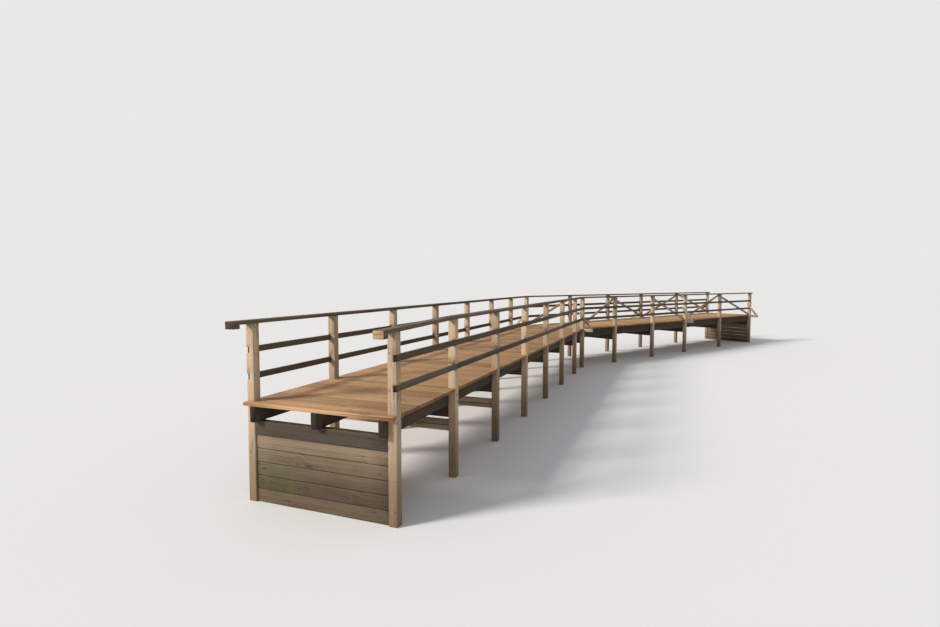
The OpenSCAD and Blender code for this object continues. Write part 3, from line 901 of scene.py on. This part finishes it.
# Places of the fixings: offsets from the middle of a post and of a rail or beam, or parts of a board
RAIL_NAILS = ((-0.028, 0.018), (0.028, -0.018))
TOP_NAILS = ((-0.03, 0.025), (0.03, -0.025))
BEAM_BOLTS = ((-0.02, 0.055), (0.02, -0.055))
BAR_BOLT_OUT, STRUT_BOLT_DOWN = 0.012, 0.035
BOARD_NAILS, NAIL_WANDER, NAIL_MARGIN, NAIL_DEPTH = (-0.3, 0.3), 0.012, 0.02, 0.0012


def placed(line, spots, facing):
    """Spots (u, v, z) of a line, and the way (u, v, z) that their fixings face, as they lie on the bridge."""
    return on_bridge(np.array(spots), line), on_bridge(np.array(facing), (0.0, line[1]))


def nails(piece, line, spots, facing):
    """A nail's head at each spot of a line."""
    piece.turned(*placed(line, spots, facing), NAIL, NAIL_SIDES)


def bolts(piece, line, spots, facing, plate=True):
    """A hexagon head on a square plate or on a round washer, at each spot of a line."""
    places = placed(line, spots, facing)
    if plate:
        piece.turned(*places, PLATE, 4, math.pi / 4)
    else:
        piece.turned(*places, ROUND_WASHER, WASHER_SIDES)
    piece.turned(*places, HEX_HEAD, 6, draws.uniform(0, 1))


def deck_nails(laid):
    """Two nails in each board over each beam, a fifth of the board's width from its edges."""
    piece = Piece("deck_nails")
    for line, boards in laid:
        middle, width, right, left = boards.T
        for beam in (-INNER + BEAM_T / 2, 0.0, INNER - BEAM_T / 2):
            for part in BOARD_NAILS:
                u = middle + part * width
                v = beam + draws.uniform(-NAIL_WANDER, NAIL_WANDER, len(u))
                held = (v > right + NAIL_MARGIN) & (v < left - NAIL_MARGIN)
                spots = np.stack((u, v, np.full(len(u), DECK_Z - NAIL_DEPTH)), -1)[held]
                nails(piece, line, spots, (0, 0, 1))
    piece.build(STEEL, "steel_fixings")


def rail_fixings():
    """Two nails through each rail into each post: the middle rails from outside, the top rail from above."""
    piece = Piece("rail_fixings")
    for line, stations, _ in LEGS:
        for side in (-1, 1):
            nails(piece, line, [(u + du, side * OUTER, z + dz) for u in stations for z in RAIL_LEVELS
                                for du, dz in RAIL_NAILS], (0, side, 0))
            tops = np.array([(u + du, side * ROW + dv, RAIL_FACE) for u in stations for du, dv in TOP_NAILS])
            if line == LEG_1:
                tops[:, 2] -= rail_drop(tops[:, 0], side)
            nails(piece, line, tops, (0, 0, 1))
    piece.build(STEEL, "steel_fixings")


def beam_bolts():
    """Two bolts through each post into the outer beams."""
    piece = Piece("beam_bolts")
    for line, stations, seat in LEGS:
        for side in (-1, 1):
            bolts(piece, line, [(u + du, side * OUTER, (seat + BOARDS_Z) / 2 + dz) for u in stations
                                for du, dz in BEAM_BOLTS], (0, side, 0))
    piece.build(STEEL, "steel_fixings")


def outrigger_bolts():
    """A bolt through the outrigger into each post, and one through the head of each strut."""
    piece = Piece("outrigger_bolts")
    for _, line, u, row in OUTRIGGERS:
        bolts(piece, line, [(u - POST / 2 - OUTRIGGER_W, side * v, z) for side in (-1, 1) for v, z in (
            (row + BAR_BOLT_OUT, DECK_Z - OUTRIGGER_D / 2),
            (row, (RAIL_LEVELS[0] + RAIL_LEVELS[1]) / 2 - STRUT_BOLT_DOWN))], (-1, 0, 0), plate=False)
    piece.build(STEEL, "steel_fixings")


def brace_bolts(heads):
    """A bolt through each end of each brace."""
    piece = Piece("brace_bolts")
    for side in (-1, 1):
        bolts(piece, LEG_2, [(u, side * (INNER - BRACE_T), z) for u, s, z in heads if s == side],
              (0, -side, 0), plate=False)
    piece.build(STEEL, "steel_fixings")


for k, u in enumerate(STATIONS_1):
    post_pair(f"posts_{k + 1:02d}", LEG_1, u)
for k, u in enumerate(STATIONS_2):
    post_pair(f"posts_{k + 9:02d}", LEG_2, u)
copied("posts_08", POST_FINISH, "z", lambda v: np.where(v > 0, 0.62, 0.35))
copied("bearer_elbow", SHADE_DARKENED_BEAM_FINISH, "v", lambda v: np.full(len(v), 0.5))
top_rails()
middle_rails()
beams()
bearers()
decks = [deck(1), deck(2)]
outriggers()
struts()
brace_heads = braces()
bank()
deck_nails(decks)
rail_fixings()
beam_bolts()
outrigger_bolts()
brace_bolts(brace_heads)


def floor():
    """A wide pale floor just under the feet of the posts."""
    reach, z = 400.0, -0.002
    mesh = bpy.data.meshes.new("floor")
    mesh.from_pydata([(-reach, -reach, z), (reach, -reach, z), (reach, reach, z), (-reach, reach, z)], [],
                     [(0, 1, 2, 3)])
    material, _, shader = new_material("pale_floor")
    shader.inputs["Base Color"].default_value = (0.90, 0.90, 0.895, 1)
    shader.inputs["Roughness"].default_value = 1.0
    shader.inputs["Specular IOR Level"].default_value = 0.0
    mesh.materials.append(material)
    added("floor", mesh)


def studio():
    """A broad soft key from the left and behind, and an even pale sky that the camera sees as the backdrop."""
    key = bpy.data.lights.new("key", "SUN")
    key.energy = 3.2
    key.angle = math.radians(14)
    key.color = (1.0, 0.96, 0.90)
    azimuth, elevation = math.radians(135), math.radians(30)
    added("key", key).rotation_euler = (math.pi / 2 - elevation, 0, azimuth + math.pi / 2)

    world = bpy.data.worlds.new("studio")
    bpy.context.scene.world = world
    world.use_nodes = True
    tree = world.node_tree
    seen = tree.nodes["Background"]
    seen.inputs["Color"].default_value = (0.809, 0.804, 0.785, 1)
    seen.inputs["Strength"].default_value = 1.0
    fill = tree_node(tree, "ShaderNodeBackground", {"Color": (0.93, 0.96, 1.0, 1), "Strength": 0.42})
    rays = tree_node(tree, "ShaderNodeLightPath").outputs
    straight = maths(tree, "MAXIMUM", rays["Is Camera Ray"], maths(
        tree, "MAXIMUM", rays["Is Glossy Ray"], rays["Is Transmission Ray"]))
    mix = tree_node(tree, "ShaderNodeMixShader", {
        "Fac": straight, 1: fill.outputs[0], 2: seen.outputs[0]})
    tree.links.new(mix.outputs[0], tree.nodes["World Output"].inputs["Surface"])


def camera():
    """The photograph's view: 20.5 mm on a 36 mm wide frame, looking along the first leg from its right."""
    lens = bpy.data.cameras.new("view")
    lens.lens = 20.50
    lens.sensor_width = 36.0
    lens.clip_end = 1000.0
    eye = added("view", lens)
    eye.location = (-5.918, -4.513, 3.133)
    turned_left, pitched_down = math.radians(21.52), math.radians(3.3187)
    eye.rotation_euler = (math.pi / 2 - pitched_down, 0, turned_left - math.pi / 2)
    bpy.context.scene.camera = eye


floor()
studio()
camera()
bpy.context.scene.view_settings.view_transform = "Standard"
